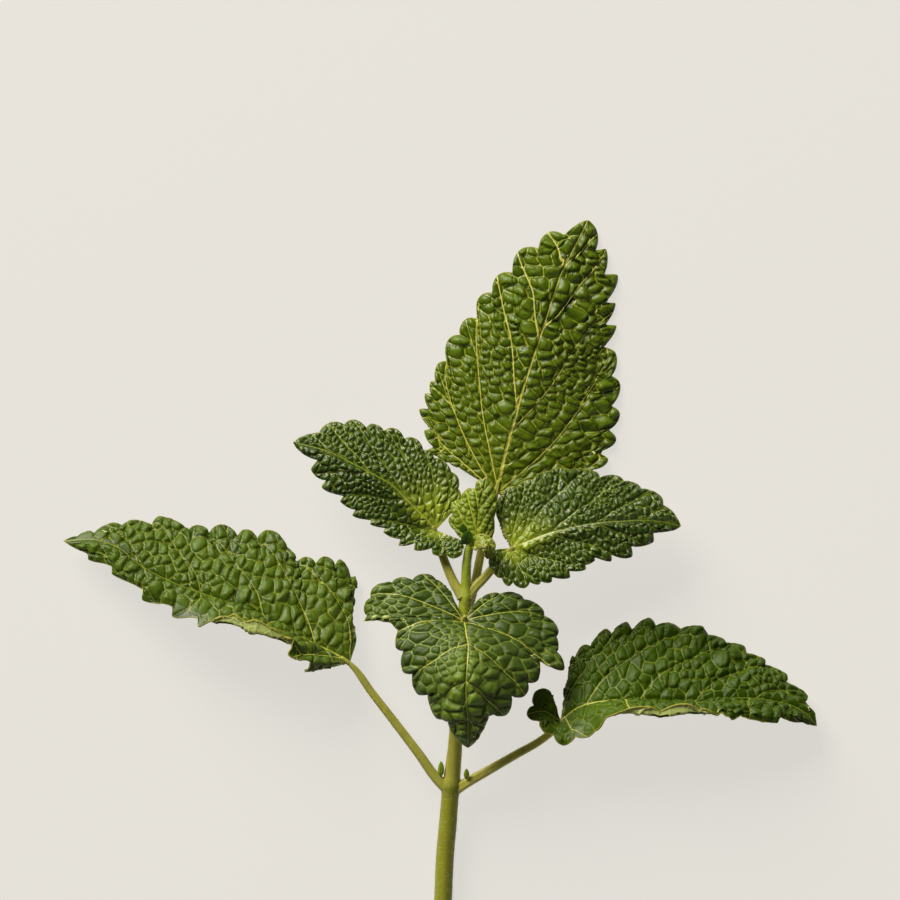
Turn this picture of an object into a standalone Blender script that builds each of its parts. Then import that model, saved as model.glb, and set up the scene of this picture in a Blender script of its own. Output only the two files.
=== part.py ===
"""Lemon balm sprig, cut and laid down, seen from above as it would be from the front when held upright.

Each leaf is one solid: a blade, whose grid is bent by formula between its midrib and its toothed edges,
joined to its stalk. The stem is a tapering tube that swells at the three places where leaves leave it.
"""
import math

import bmesh
import bpy
import numpy as np
from mathutils import Vector
from mathutils.geometry import delaunay_2d_cdt

# Driving dimensions, in metres
SPRIG_WIDTH = 0.1357          # across the tips of the two lower leaves
VIEW_HEIGHT = 1.2             # height from which the outlines below are seen
BLADE_THICKNESS = 0.0006
STALK_RADIUS = 0.0008

# Places read in the photograph, in its pixels
PHOTO_WIDTH = 754.0           # between the same two tips
ORIGIN = (440.0, 580.0)       # the middle of the sprig's box
VIEW = (450.0, 450.0)         # the middle of the picture
PIXEL = SPRIG_WIDTH / PHOTO_WIDTH

SIDE_VEINS = (0.0, 0.15, 0.29, 0.43, 0.56, 0.68, 0.79, 0.89, 1.0)
FAN = 0.42                    # share of the edge that the veins from the base reach
FAN_POWER = 1.6
FLAT_WIDTH = 0.34             # half the width of a flat leaf, as a share of its length

GREEN = (0.075, 0.155, 0.022)
YOUNG_GREEN = (0.19, 0.27, 0.04)
STEM_GREEN = (0.26, 0.27, 0.05)

# Points are (x, y) in photo pixels and a height over the ground in millimetres. An edge runs from the
# base round the lobe to the tip, through the notches between its teeth. A fourth number is how far the
# tooth that starts there stands out, as a share of its width. A pull moves the blade near one place:
# (place along the edge, its reach, place across, its reach, x and y in pixels, height in mm).
LEAVES = {
    "leaf_back": dict(
        midrib=[(497, 492, 2.3), (505, 455, 2.8), (513, 425, 3.1), (522, 393, 3.2), (531, 365, 3.2),
                (541, 335, 3.0), (553, 297, 2.6), (564, 267, 2.1), (575, 246, 1.7), (588, 220, 1.1)],
        left=[(452, 464, 1.5), (437, 447, 1.2), (429, 429, 1.0),
              (427, 408, 0.9), (432, 391, 0.8), (447, 361, 0.8), (460, 335, 0.8), (475, 319, 0.8),
              (493, 293, 0.9), (514, 273, 0.9), (537, 248, 0.9), (564, 234, 1.0, 0.2)],
        right=[(510, 506, 2.0, 0.1), (530, 508, 1.8), (556, 499, 1.6), (582, 481, 1.4), (595, 453, 1.1),
               (611, 430, 0.9),
               (612, 405, 0.8), (612, 377, 0.8), (607, 346, 0.8), (605, 323, 0.9), (604, 301, 0.9),
               (604, 275, 0.9), (597, 252, 1.0, 0.2)],
        stalk=[(464, 634, 5.6), (468, 610, 5.1), (475, 583, 4.4), (479, 562, 3.9), (486, 530, 3.0),
               (493, 505, 2.5), (498, 487, 2.5)],
        lift=0.5, teeth=0.32, relief=0.35, spacing=2.4, edge_steps=(0.0, 0.35, 0.7)),
    "leaf_upper_left": dict(
        midrib=[(436, 530, 8.8), (426, 519, 9.4), (415, 508, 9.7), (404, 497, 9.9), (393, 486, 10.1),
                (375, 475, 10.2), (352, 463, 10.0), (330, 452, 9.6), (310, 446, 9.2), (293, 442, 8.8)],
        left=[(459, 539, 9.6, 0.3), (464, 547, 10.0), (460, 554, 10.2), (452, 553, 10.3),
              (442, 552, 10.4), (432, 547, 10.4), (415, 543, 10.4), (401, 538, 10.3), (382, 529, 10.0),
              (375, 521, 9.8), (357, 509, 9.5), (344, 496, 9.3), (332, 481, 9.2),
              (314, 460, 9.0, 0.15)],
        right=[(456, 511, 8.0, 0.3), (459, 488, 7.6), (450, 477, 7.3), (441, 467, 7.0), (429, 458, 6.9),
               (423, 451, 6.8), (409, 440, 6.8), (399, 433, 6.9), (388, 428, 7.0), (366, 428, 7.2),
               (344, 424, 7.5), (319, 433, 8.0, 0.12)],
        stalk=[(455, 585, 8.4), (448, 570, 8.0), (442, 554, 7.7), (438, 540, 8.0), (435, 528, 8.9)],
        pulls=[("left", 0.55, 0.35, 0.4, 0.3, 0, 0, -1.3)],
        lift=0.4, teeth=0.34, relief=0.35, spacing=2.2, edge_steps=(0.0, 0.35, 0.7)),
    "leaf_upper_right": dict(
        midrib=[(511, 548, 8.8), (526, 542, 9.4), (543, 535, 9.8), (573, 527, 10.2), (595, 523, 10.3),
                (624, 521, 10.1), (646, 520, 9.7), (664, 522, 9.2), (681, 526, 8.7)],
        left=[(500, 525, 8.0, 0.2), (496, 510, 7.6), (505, 494, 7.3), (517, 486, 7.0), (529, 479, 6.9),
              (545, 472, 6.8), (563, 468, 6.8), (580, 470, 6.8), (600, 477, 7.0), (626, 481, 7.2),
              (642, 488, 7.5), (658, 506, 8.0, 0.2)],
        right=[(499, 549, 9.2, 0.3), (490, 560, 9.6), (498, 576, 10.0), (512, 583, 10.3),
               (526, 584, 10.4), (539, 582, 10.4), (551, 576, 10.4), (569, 571, 10.4), (584, 565, 10.3),
               (594, 557, 10.2), (612, 554, 10.0), (633, 545, 9.6), (653, 533, 9.2, 0.2)],
        stalk=[(475, 587, 8.5), (485, 577, 8.2), (496, 564, 8.2), (504, 555, 8.4), (512, 547, 8.9)],
        pulls=[("right", 0.55, 0.35, 0.4, 0.3, 0, 0, -1.0)],
        lift=0.4, teeth=0.34, relief=0.35, spacing=2.2, edge_steps=(0.0, 0.35, 0.7)),
    "leaf_lower_left": dict(
        midrib=[(350, 663, 6.3), (331, 652, 6.9), (308, 641, 7.4), (288, 629, 7.8), (262, 615, 8.0),
                (224, 601, 7.9), (200, 593, 7.6), (169, 581, 7.0), (138, 564, 6.2), (120, 549, 5.4),
                (95, 540, 4.6), (63, 541, 4.0)],
        left=[(326, 667, 9.6, 0.45), (307, 658, 11.2), (292, 652, 12.6, 0.1), (282, 635, 14.6, 0.15),
              (266, 621, 14.8, 0.15), (245, 617, 14.0, 0.15), (228, 616, 13.4, 0.15),
              (211, 622, 12.6, 0.2), (197, 618, 12.0, 0.35), (177, 606, 10.8, 0.35),
              (146, 589, 9.2, 0.25), (112, 566, 6.4, 0.2), (84, 551, 4.2, 0.0)],
        right=[(356, 640, 5.2, 0.15), (351, 622, 4.4, 0.1), (351, 596, 3.2, 0.3), (348, 578, 2.4),
               (335, 566, 1.8), (315, 564, 1.4), (297, 559, 1.0), (284, 547, 0.8), (257, 536, 0.6),
               (237, 533, 0.6), (208, 527, 0.6), (186, 525, 0.6), (152, 524, 0.8, 0.2),
               (120, 525, 1.3, 0.2), (100, 530, 2.0, 0.15), (80, 535, 3.0, 0.05)],
        stalk=[(438, 780, 4.5), (418, 753, 4.8), (396, 724, 5.2), (372, 693, 5.7), (351, 665, 6.2),
               (346, 660, 6.4)],
        pulls=[("left", 0.40, 0.20, 0.7, 0.3, -2, 15, -0.4), ("left", 0.75, 0.2, 0.6, 0.3, 0, 3, 0.2)],
        lift=0.5, teeth=0.32, relief=0.35, spacing=2.4, edge_steps=(0.0, 0.35, 0.7)),
    "leaf_lower_right": dict(
        midrib=[(561, 722, 6.4), (568, 715, 6.8), (583, 706, 7.2), (610, 701, 7.7), (640, 700, 8.0),
                (672, 701, 8.0), (704, 700, 7.8), (740, 698, 7.2), (768, 700, 6.4), (790, 705, 5.6),
                (805, 713, 5.0), (817, 726, 4.2)],
        left=[(565, 699, 5.6, 0.1), (570, 674, 4.2, 0.2), (577, 655, 3.0), (590, 645, 2.2),
              (612, 635, 1.4), (633, 628, 0.9), (657, 626, 0.7), (681, 629, 0.6), (708, 636, 0.6),
              (725, 643, 0.6), (745, 654, 0.7), (766, 664, 0.9), (786, 681, 1.4),
              (803, 702, 2.6, 0.15)],
        right=[(555, 713, 6.9, 0.05), (548, 696, 7.6, 0.05), (537, 698, 8.6, 0.5), (540, 721, 9.6, 0.3),
               (549, 733, 10.0, 0.35), (575, 734, 11.0, 0.3), (592, 730, 12.0, 0.1), (606, 716, 13.6, 0.1),
               (622, 709, 14.2, 0.12), (647, 704, 14.4, 0.12), (679, 704, 14.0, 0.12),
               (710, 707, 12.8, 0.1), (723, 714, 11.8, 0.2), (740, 716, 10.8, 0.12),
               (765, 719, 8.8, 0.15), (782, 719, 7.2, 0.1), (803, 722, 5.2, 0.05)],
        stalk=[(464, 784, 4.5), (487, 771, 4.9), (515, 755, 5.4), (541, 740, 5.9), (556, 728, 6.1),
               (561, 722, 6.3)],
        pulls=[("right", 0.58, 0.16, 0.7, 0.3, 0, 15, -0.4)],
        lift=0.5, teeth=0.34, relief=0.35, spacing=2.4, edge_steps=(0.0, 0.35, 0.7)),
    "leaf_front": dict(
        midrib=[(464, 621, 11.2), (466, 634, 14.6), (468, 647, 17.2), (467, 667, 19.2),
                (466, 682, 19.6), (466, 700, 19.2), (468, 723, 17.4), (468, 748, 14.0)],
        left=[(472, 607, 9.8, 0.15), (488, 597, 8.8, 0.15), (506, 595, 8.2), (524, 601, 8.2),
              (542, 615, 8.4), (556, 638, 9.2, 0.15), (556, 652, 10.0, 0.7), (538, 660, 12.6),
              (527, 681, 14.6), (511, 695, 15.6), (487, 714, 15.8, 0.25)],
        right=[(456, 604, 9.6, 0.15), (446, 588, 8.4, 0.1), (430, 578, 8.0), (412, 581, 8.0),
               (391, 585, 8.2), (373, 598, 8.8, 0.7), (389, 620, 11.4, 0.2), (397, 630, 13.0),
               (404, 651, 14.6), (412, 673, 15.6), (428, 693, 16.2), (448, 718, 15.8, 0.25)],
        stalk=[(463, 637, 9.7), (464, 630, 10.2), (464, 622, 10.9), (465, 618, 11.6)],
        lift=1.2, teeth=0.32, relief=0.35, spacing=2.2, edge_steps=(0.0, 0.3, 0.55, 0.8)),
    "tip_leaf_back": dict(
        midrib=[(478, 549, 10.4), (477, 535, 10.7), (477, 520, 10.7), (479, 505, 10.5),
                (483, 490, 10.3), (487, 477, 10.0)],
        left=[(467, 543, 10.2, 0.1), (456, 531, 9.9), (453, 515, 9.8), (461, 500, 9.8),
              (475, 489, 10.0, 0.3), (482, 480, 10.0, 0.1)],
        right=[(487, 547, 10.2, 0.05), (493, 535, 10.1, 0.05), (494, 518, 10.0, 0.1),
               (496, 500, 10.0, 0.1), (494, 488, 10.0, 0.1)],
        lift=0.4, teeth=0.3, relief=0.15, spacing=1.4, edge_steps=(0.0, 0.5)),
    "tip_leaf_front": dict(
        midrib=[(472, 549, 11.4), (475, 542, 12.4), (481, 538, 13.4), (487, 541, 14.2),
                (489, 548, 14.2), (486, 558, 13.6)],
        left=[(467, 544, 11.2, 0.05), (473, 537, 11.8, 0.05), (482, 534, 12.6, 0.05),
              (491, 538, 13.0, 0.1), (495, 549, 13.0, 0.2), (490, 558, 13.0, 0.2)],
        right=[(476, 551, 13.0, 0.0), (478, 547, 14.2, 0.0), (482, 545, 15.0, 0.0),
               (485, 547, 15.2, 0.0), (485, 552, 14.8, 0.1)],
        lift=0.2, teeth=0.2, relief=0.0, spacing=1.0, edge_steps=(0.0, 0.5)),
    "tip_leaflet_large": dict(
        midrib=[(467, 545, 11.6), (467, 540, 12.2), (468, 535, 12.7), (469, 530, 13.0)],
        left=[(460, 544, 12.0, 0.0), (461, 539, 12.3, 0.0), (464, 533, 12.7, 0.0)],
        right=[(472, 543, 12.6, 0.0), (473, 539, 12.8, 0.0), (472, 534, 12.9, 0.0)],
        lift=0.2, teeth=0.0, relief=0.0, spacing=1.0, edge_steps=(0.0, 0.5)),
    "tip_leaflet_small": dict(
        midrib=[(464, 533, 11.4), (463, 529, 11.6), (463, 523, 11.8)],
        left=[(460, 532, 11.4, 0.0), (459, 528, 11.5, 0.0)],
        right=[(468, 532, 11.5, 0.0), (467, 528, 11.6, 0.0)],
        lift=0.1, teeth=0.0, relief=0.0, spacing=0.8, edge_steps=(0.0, 0.5)),
}

# Stem axis as (x, y, height, radius in pixels), from the cut end to the shoot tip
STEM = [(441, 938, 1.65, 9.1), (443, 900, 2.3, 9.0), (445, 856, 3.0, 9.0), (448, 822, 3.6, 8.9),
        (450, 797, 4.2, 8.6), (451, 787, 4.4, 9.4), (452, 777, 4.6, 8.4), (455, 747, 5.3, 7.1),
        (458, 700, 6.3, 6.7), (461, 652, 7.4, 6.6), (462, 640, 7.6, 7.2), (463, 628, 7.9, 6.4),
        (465, 606, 8.3, 6.4), (466, 597, 8.5, 7.0), (466, 588, 8.6, 5.2), (467, 561, 9.0, 4.4),
        (469, 549, 9.2, 4.3), (470, 543, 9.3, 3.4)]

# Axillary buds as (base, tip, radius in pixels)
BUDS = {
    "bud_left": ((441, 774.5, 5.2), (441, 762, 5.9), 4.0),
    "bud_right": ((466.5, 777.5, 5.6), (466.5, 769, 6.1), 3.4),
}


def metres(points):
    """Photo pixels and millimetres of height, as metres in the sprig's own frame."""
    points = np.array([point[:3] for point in points], float)
    height = points[:, 2:3] / 1000.0
    seen = np.array(VIEW) + (points[:, :2] - VIEW) * (1.0 - height / VIEW_HEIGHT)
    flat = (seen - ORIGIN) * PIXEL * (1.0, -1.0)
    return np.hstack((flat, height))


def knots(points):
    """Share of a line's length at which each of its points lies."""
    steps = np.linalg.norm(np.diff(points, axis=0), axis=1)
    length = np.concatenate(([0.0], np.cumsum(steps)))
    return length / length[-1]


def along(points, share):
    """Smooth curve through the points, read at shares of its length."""
    place = knots(points)
    slope = np.gradient(points, place, axis=0)
    i = np.clip(np.searchsorted(place, share, side="right") - 1, 0, len(place) - 2)
    width = (place[i + 1] - place[i])[:, None]
    w = (share - place[i])[:, None] / width
    start = (1 + 2 * w) * (1 - w) ** 2 * points[i] + w * (1 - w) ** 2 * width * slope[i]
    end = w * w * (3 - 2 * w) * points[i + 1] - w * w * (1 - w) * width * slope[i + 1]
    return start + end


def unit(vectors):
    return vectors / np.maximum(np.linalg.norm(vectors, axis=-1, keepdims=True), 1e-12)


def tooth_heights(edge, ratios, share):
    """How far each place on the edge stands out of the line through the notches."""
    place = knots(edge)
    i = np.clip(np.searchsorted(place, share, side="right") - 1, 0, len(place) - 2)
    w = np.clip((share - place[i]) / (place[i + 1] - place[i]), 0, 1)
    chord = np.linalg.norm(np.diff(edge, axis=0), axis=1)[i]
    return np.array(ratios)[i] * chord * np.abs(np.sin(math.pi * w ** 1.35)) ** 0.8


def edge_marks(leaf, side):
    """The notches of one edge in metres, with how far each tooth stands out."""
    marks = leaf[side] + [leaf["midrib"][-1]]
    return metres(marks), [mark[3] if len(mark) > 3 else leaf["teeth"] for mark in marks]


def base_normal(leaf):
    """The direction square to the plane that lies closest to the veins leaving the blade's base."""
    midrib = metres(leaf["midrib"])
    spokes = [midrib[1] - midrib[0]]
    for side in ("left", "right"):
        spokes.extend(along(edge_marks(leaf, side)[0], np.linspace(0, FAN, 6)) - midrib[0])
    return np.linalg.svd(unit(np.array(spokes)))[2][2]


def ribs(leaf, side, share, t):
    """Points on one half of the blade without its teeth: t runs from the midrib to the edge."""
    edge = edge_marks(leaf, side)[0]
    middle = np.clip((share - FAN) / (1 - FAN), 0, 1) ** FAN_POWER
    start = along(metres(leaf["midrib"]), middle)
    reach = along(edge, share) - start
    normal = base_normal(leaf)
    flatter = (1 - middle) ** 4 * t * (1 - t) ** 2 * (reach @ normal)
    spots = start + reach * t[:, None] - flatter[:, None] * normal
    spots[:, 2] += np.sin(math.pi * share) * 4 * t * (1 - t) * leaf["lift"] / 1000.0
    for which, place, reach, middle, spread, x, y, z in leaf.get("pulls", ()):
        if which == side:
            near = np.exp(-((share - place) / reach) ** 2 - ((t - middle) / spread) ** 2)
            near *= np.clip(4 * t, 0, 1) * np.clip(4 - 4 * t, 0, 1)
            spots += near[:, None] * np.array((x * PIXEL, -y * PIXEL, z / 1000.0))
    return spots


def swell(share, t):
    """The blade's swelling between its side veins, from 0 on a vein to 1 between two."""
    veins = np.array(SIDE_VEINS)
    i = np.clip(np.searchsorted(veins, share, side="right") - 1, 0, len(veins) - 2)
    w = (share - veins[i]) / (veins[i + 1] - veins[i])
    return np.sin(math.pi * w) * np.clip(3 * t, 0, 1) * (1 - 0.6 * t)


def half_blade(leaf, side, share, t):
    """Points on one half of the blade, with its teeth and its swellings."""
    edge, ratios = edge_marks(leaf, side)
    spots = ribs(leaf, side, share, t)
    rim = np.ones_like(t)
    outward = unit(ribs(leaf, side, share, rim) - ribs(leaf, side, share, 0.9 * rim))
    edgewise = unit(along(edge, np.clip(share + 0.01, 0, 1)) - along(edge, np.clip(share - 0.01, 0, 1)))
    outward = unit(outward - 0.8 * np.sum(outward * edgewise, axis=1, keepdims=True) * edgewise)
    spots += outward * (tooth_heights(edge, ratios, share) * np.clip(2.5 * t - 1.5, 0, 1))[:, None]
    inner, step = np.clip(t, 0.15, 0.9), 0.02
    forward = ribs(leaf, side, np.clip(share + step, 0, 1), inner)
    forward -= ribs(leaf, side, np.clip(share - step, 0, 1), inner)
    sideways = ribs(leaf, side, share, inner + step) - ribs(leaf, side, share, inner - step)
    normal = unit(np.cross(sideways, forward)) * (1 if side == "right" else -1)
    return spots + normal * (swell(share, t) * leaf["relief"] / 1000.0)[:, None]


def flat_place(share, t, length):
    """Where a place on a half blade would lie on a flat leaf whose midrib runs up from the origin."""
    turn = math.pi * (0.12 + 0.88 * share)
    ahead = np.clip(turn * 2 / math.pi - 1, 0, 1)
    rim_y = length * (0.35 + np.where(ahead > 0, 0.65 * ahead, -0.45 * np.cos(turn)))
    rim_x = length * FLAT_WIDTH * np.where(ahead > 0, 1 - ahead ** 1.6, np.sin(turn))
    start = length * np.clip((share - FAN) / (1 - FAN), 0, 1) ** FAN_POWER
    return np.stack((rim_x * t, start + (rim_y - start) * t), axis=1)


def toothed_place(leaf, side, share, t, length):
    """The same place with the teeth of the edge added."""
    foot, rim = flat_place(share, 0 * t, length), flat_place(share, 0 * t + 1, length)
    reach = np.linalg.norm(rim - foot, axis=1)
    teeth = tooth_heights(*edge_marks(leaf, side), share) * np.clip(2.5 * t - 1.5, 0, 1)
    return flat_place(share, t + teeth / np.maximum(reach, 0.0001), length)


def edge_shares(leaf, side):
    """Places along an edge: each notch, and a few between it and the next."""
    edge = edge_marks(leaf, side)[0]
    place = knots(edge)
    widths = np.linalg.norm(np.diff(edge, axis=0), axis=1)
    between = []
    for a, b, width in zip(place, place[1:], widths):
        steps = leaf["edge_steps"] if width > 0.0022 else (0.0, 0.55)
        between.extend(a + (b - a) * w for w in steps)
    return np.array(between + [1.0])


def inner_places(leaf, side, length, rim, middle):
    """Places inside a half blade that keep their distance from its outline and from each other."""
    gap = leaf["spacing"] / 1000.0
    share, t = np.meshgrid(np.linspace(0.02, 0.98, 97), np.linspace(0.95, 0.05, 37))
    share = np.concatenate((rim, middle, share.ravel()))
    t = np.concatenate((0 * rim + 1, 0 * middle, t.ravel()))
    flat = flat_place(share, t, length)
    bent = half_blade(leaf, side, share, t)
    kept = list(range(len(rim) + len(middle)))
    chosen = []
    for i in range(len(kept), len(share)):
        clear = np.hypot(*(flat[kept] - flat[i]).T).min() > gap
        if clear and flat[i, 0] > gap / 2 and np.linalg.norm(bent[kept] - bent[i], axis=1).min() > gap * 0.4:
            kept.append(i)
            chosen.append(i)
    return share[chosen], t[chosen]


def blade_sheet(name, leaf):
    """The blade as one open sheet, split into even triangles on a flat leaf and then bent to shape."""
    length = np.linalg.norm(np.diff(metres(leaf["midrib"]), axis=0), axis=1).sum()
    middle = np.linspace(FAN, 1, max(4, round(length / leaf["spacing"] * 1000)))[:-1]
    flat, bent, outline = [], [], []

    def add(side, share, t):
        first = sum(len(part) for part in flat)
        places = toothed_place(leaf, side, share, t, length)
        flat.append(places * (1, 1) if side == "right" else places * (-1, 1))
        bent.append(half_blade(leaf, side, share, t))
        return list(range(first, first + len(share)))

    spine = add("right", middle, np.zeros_like(middle))
    for side in ("right", "left"):
        share = edge_shares(leaf, side)
        share = share if side == "right" else share[:-1]
        rim = add(side, share, np.ones_like(share))
        outline.append(rim)
        add(side, *inner_places(leaf, side, length, share, middle))
    loop = [spine[0]] + outline[0] + outline[1][::-1]
    edges = list(zip(loop, loop[1:] + loop[:1])) + list(zip(spine, spine[1:] + [outline[0][-1]]))
    flat, bent = np.concatenate(flat), np.concatenate(bent)
    found = delaunay_2d_cdt([Vector(place) for place in flat], edges, [], 1, 1e-9)
    work = bmesh.new()
    corners = [work.verts.new(bent[origin[0]]) for origin in found[3]]
    for face in found[2]:
        work.faces.new([corners[i] for i in face])
    pinned = set(loop + spine)
    inner = [corner for corner, origin in zip(corners, found[3]) if origin[0] not in pinned]
    for _ in range(4):
        bmesh.ops.smooth_vert(work, verts=inner, factor=0.5, use_axis_x=True, use_axis_y=True, use_axis_z=True)
    mesh = bpy.data.meshes.new(name)
    work.to_mesh(mesh)
    work.free()
    return mesh


def material(name, colour, roughness):
    made = bpy.data.materials.new(name)
    made.use_nodes = True
    shader = made.node_tree.nodes["Principled BSDF"]
    shader.inputs["Base Color"].default_value = (*colour, 1.0)
    shader.inputs["Roughness"].default_value = roughness
    shader.inputs["Metallic"].default_value = 0.0
    return made


def new_object(name, mesh, collection):
    made = bpy.data.objects.new(name, mesh)
    collection.objects.link(made)
    return made


def solid_mesh(made):
    """The object's evaluated mesh, with the object itself removed."""
    graph = bpy.context.evaluated_depsgraph_get()
    mesh = bpy.data.meshes.new_from_object(made.evaluated_get(graph))
    mesh.transform(made.matrix_world)
    bpy.data.objects.remove(made)
    return mesh


def blade_solid(name, leaf, collection):
    """The blade as a closed solid: its sheet, thickened."""
    sheet = new_object(name, blade_sheet(name, leaf), collection)
    wall = sheet.modifiers.new("Thickness", "SOLIDIFY")
    wall.thickness = BLADE_THICKNESS
    wall.offset = 0.0
    return new_object(name, solid_mesh(sheet), collection)


def tube_solid(name, points, radii, sides, collection):
    """A tapering tube through the points, with closed ends."""
    curve = bpy.data.curves.new(name, "CURVE")
    curve.dimensions = "3D"
    curve.bevel_depth = 1.0
    curve.bevel_resolution = sides // 4 - 1 if sides > 8 else 1
    curve.use_fill_caps = True
    spline = curve.splines.new("POLY")
    spline.points.add(len(points) - 1)
    for point, place, radius in zip(spline.points, points, radii):
        point.co = (*place, 1.0)
        point.radius = radius
    mesh = solid_mesh(new_object(name, curve, collection))
    work = bmesh.new()
    work.from_mesh(mesh)
    bmesh.ops.remove_doubles(work, verts=work.verts, dist=0.00001)
    bmesh.ops.recalc_face_normals(work, faces=work.faces)
    work.to_mesh(mesh)
    work.free()
    return new_object(name, mesh, collection)


def joined(name, first, second, collection):
    """Boolean union of two solids, which are removed. The exact solver loses faces at one blade's base."""
    union = first.modifiers.new("Union", "BOOLEAN")
    union.operation = "UNION"
    union.solver = "MANIFOLD"
    union.object = second
    graph = bpy.context.evaluated_depsgraph_get()
    mesh = bpy.data.meshes.new_from_object(first.evaluated_get(graph))
    bpy.data.objects.remove(first)
    bpy.data.objects.remove(second)
    return new_object(name, mesh, collection)


def rest_on_ground(made):
    """Flattens what reaches below the ground, so the sprig lies on small flat spots."""
    for vertex in made.data.vertices:
        vertex.co.z = max(vertex.co.z, 0.0)


def finished(made, name, surface):
    made.name = name
    made.data.materials.clear()
    made.data.materials.append(surface)
    made.data.shade_smooth()
    made.data.set_sharp_from_angle(angle=math.radians(50))


def make_leaf(name, leaf, surface, collection):
    blade = blade_solid(name + "_blade", leaf, collection)
    if "stalk" in leaf:
        path = metres(leaf["stalk"])
        points = along(path, np.linspace(0, 1, 9))
        radii = STALK_RADIUS * np.linspace(1.0, 0.75, 9)
        stalk = tube_solid(name + "_stalk", points, radii, 8, collection)
        blade = joined(name, blade, stalk, collection)
    rest_on_ground(blade)
    finished(blade, name, surface)


def make_stem(surface, collection):
    path = metres(STEM)
    radii = np.array([mark[3] for mark in STEM]) * PIXEL
    stem = tube_solid("stem", path, radii, 12, collection)
    rest_on_ground(stem)
    finished(stem, "stem", surface)


def make_bud(name, base, tip, radius, surface, collection):
    """A bud: a ball drawn out to a point along its axis."""
    ends = metres([base, tip])
    axis = ends[1] - ends[0]
    work = bmesh.new()
    bmesh.ops.create_uvsphere(work, u_segments=8, v_segments=6, radius=1.0)
    for vertex in work.verts:
        rise = (vertex.co.z + 1.0) / 2.0
        slim = radius * PIXEL * (1.0 - 0.55 * rise)
        spot = ends[0] + axis * rise
        vertex.co = (spot[0] + vertex.co.x * slim, spot[1], spot[2] + vertex.co.y * slim * 0.6)
    bmesh.ops.recalc_face_normals(work, faces=work.faces)
    mesh = bpy.data.meshes.new(name)
    work.to_mesh(mesh)
    work.free()
    finished(new_object(name, mesh, collection), name, surface)


def main():
    for made in list(bpy.data.objects):
        bpy.data.objects.remove(made)
    collection = bpy.data.collections.new("lemon_balm_sprig")
    bpy.context.scene.collection.children.link(collection)
    make_stem(material("stem", STEM_GREEN, 0.45), collection)
    for name, leaf in LEAVES.items():
        colour = YOUNG_GREEN if name.startswith("tip_") else GREEN
        make_leaf(name, leaf, material(name, colour, 0.4), collection)
    for name, (base, tip, radius) in BUDS.items():
        make_bud(name, base, tip, radius, material(name, YOUNG_GREEN, 0.45), collection)


main()
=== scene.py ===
"""Lemon balm sprig, cut and laid on a pale surface, looked at from straight above."""
import math

import bpy
import numpy as np
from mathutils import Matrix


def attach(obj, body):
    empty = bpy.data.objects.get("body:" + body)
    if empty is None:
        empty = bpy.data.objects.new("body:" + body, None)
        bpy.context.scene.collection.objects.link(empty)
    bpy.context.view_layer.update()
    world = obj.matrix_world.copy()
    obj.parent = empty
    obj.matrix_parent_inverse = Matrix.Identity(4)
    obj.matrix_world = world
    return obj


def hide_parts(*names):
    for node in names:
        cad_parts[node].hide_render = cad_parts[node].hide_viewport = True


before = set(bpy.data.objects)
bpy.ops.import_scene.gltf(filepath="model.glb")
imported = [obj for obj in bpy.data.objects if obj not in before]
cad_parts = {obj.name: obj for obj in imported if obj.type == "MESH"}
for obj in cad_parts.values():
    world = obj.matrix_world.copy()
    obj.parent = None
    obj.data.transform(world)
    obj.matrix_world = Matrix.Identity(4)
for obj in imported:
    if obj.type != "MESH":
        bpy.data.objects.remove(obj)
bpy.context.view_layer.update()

# The back leaf of the middle pair, the broadest blade. Leaf tissue, puckered between a net of sunk
# veins, with round teeth. It grows from the middle node behind the stem on a pale stalk, and lies
# almost flat on the surface.
PIXEL = 0.1357 / 754.0        # metres to a pixel of the picture
ORIGIN = (440.0, 580.0)       # the sprig's middle, in pixels
VIEW = (450.0, 450.0)         # the picture's middle, which is also half its size
VIEW_HEIGHT = 1.2             # of the camera over the surface, in metres
FAN = 0.42                    # share of the edge that the veins from the base reach
FAN_POWER = 1.6
SIDE_VEINS = ((0.11, 0.15), (0.25, 0.33), (0.46, 0.54), (0.66, 0.70), (0.80, 0.81), (0.91, 0.90))
MM = 0.001
STALK_RADIUS = 0.0009
LOWEST_BLADE = 0.35 * MM      # how low a blade's upper side may come, so that its underside is clear
LOWEST_HAIR = 0.05 * MM
MAIN_VEIN = 0.17              # half width of a side vein at the midrib, in mm on a full-grown leaf
MAIN_VEIN_TAPER = 0.07
FORK_VEIN = 0.075
MIDRIB_RISE = 0.04
VEIN_RISE = 0.34
SQUEEZE = 0.36                # how much narrower than long the puckers are
BLADE_WELD = 0.00002
TUBE_WELD = 0.000002
HAIRS_PER_METRE = 12000

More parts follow.
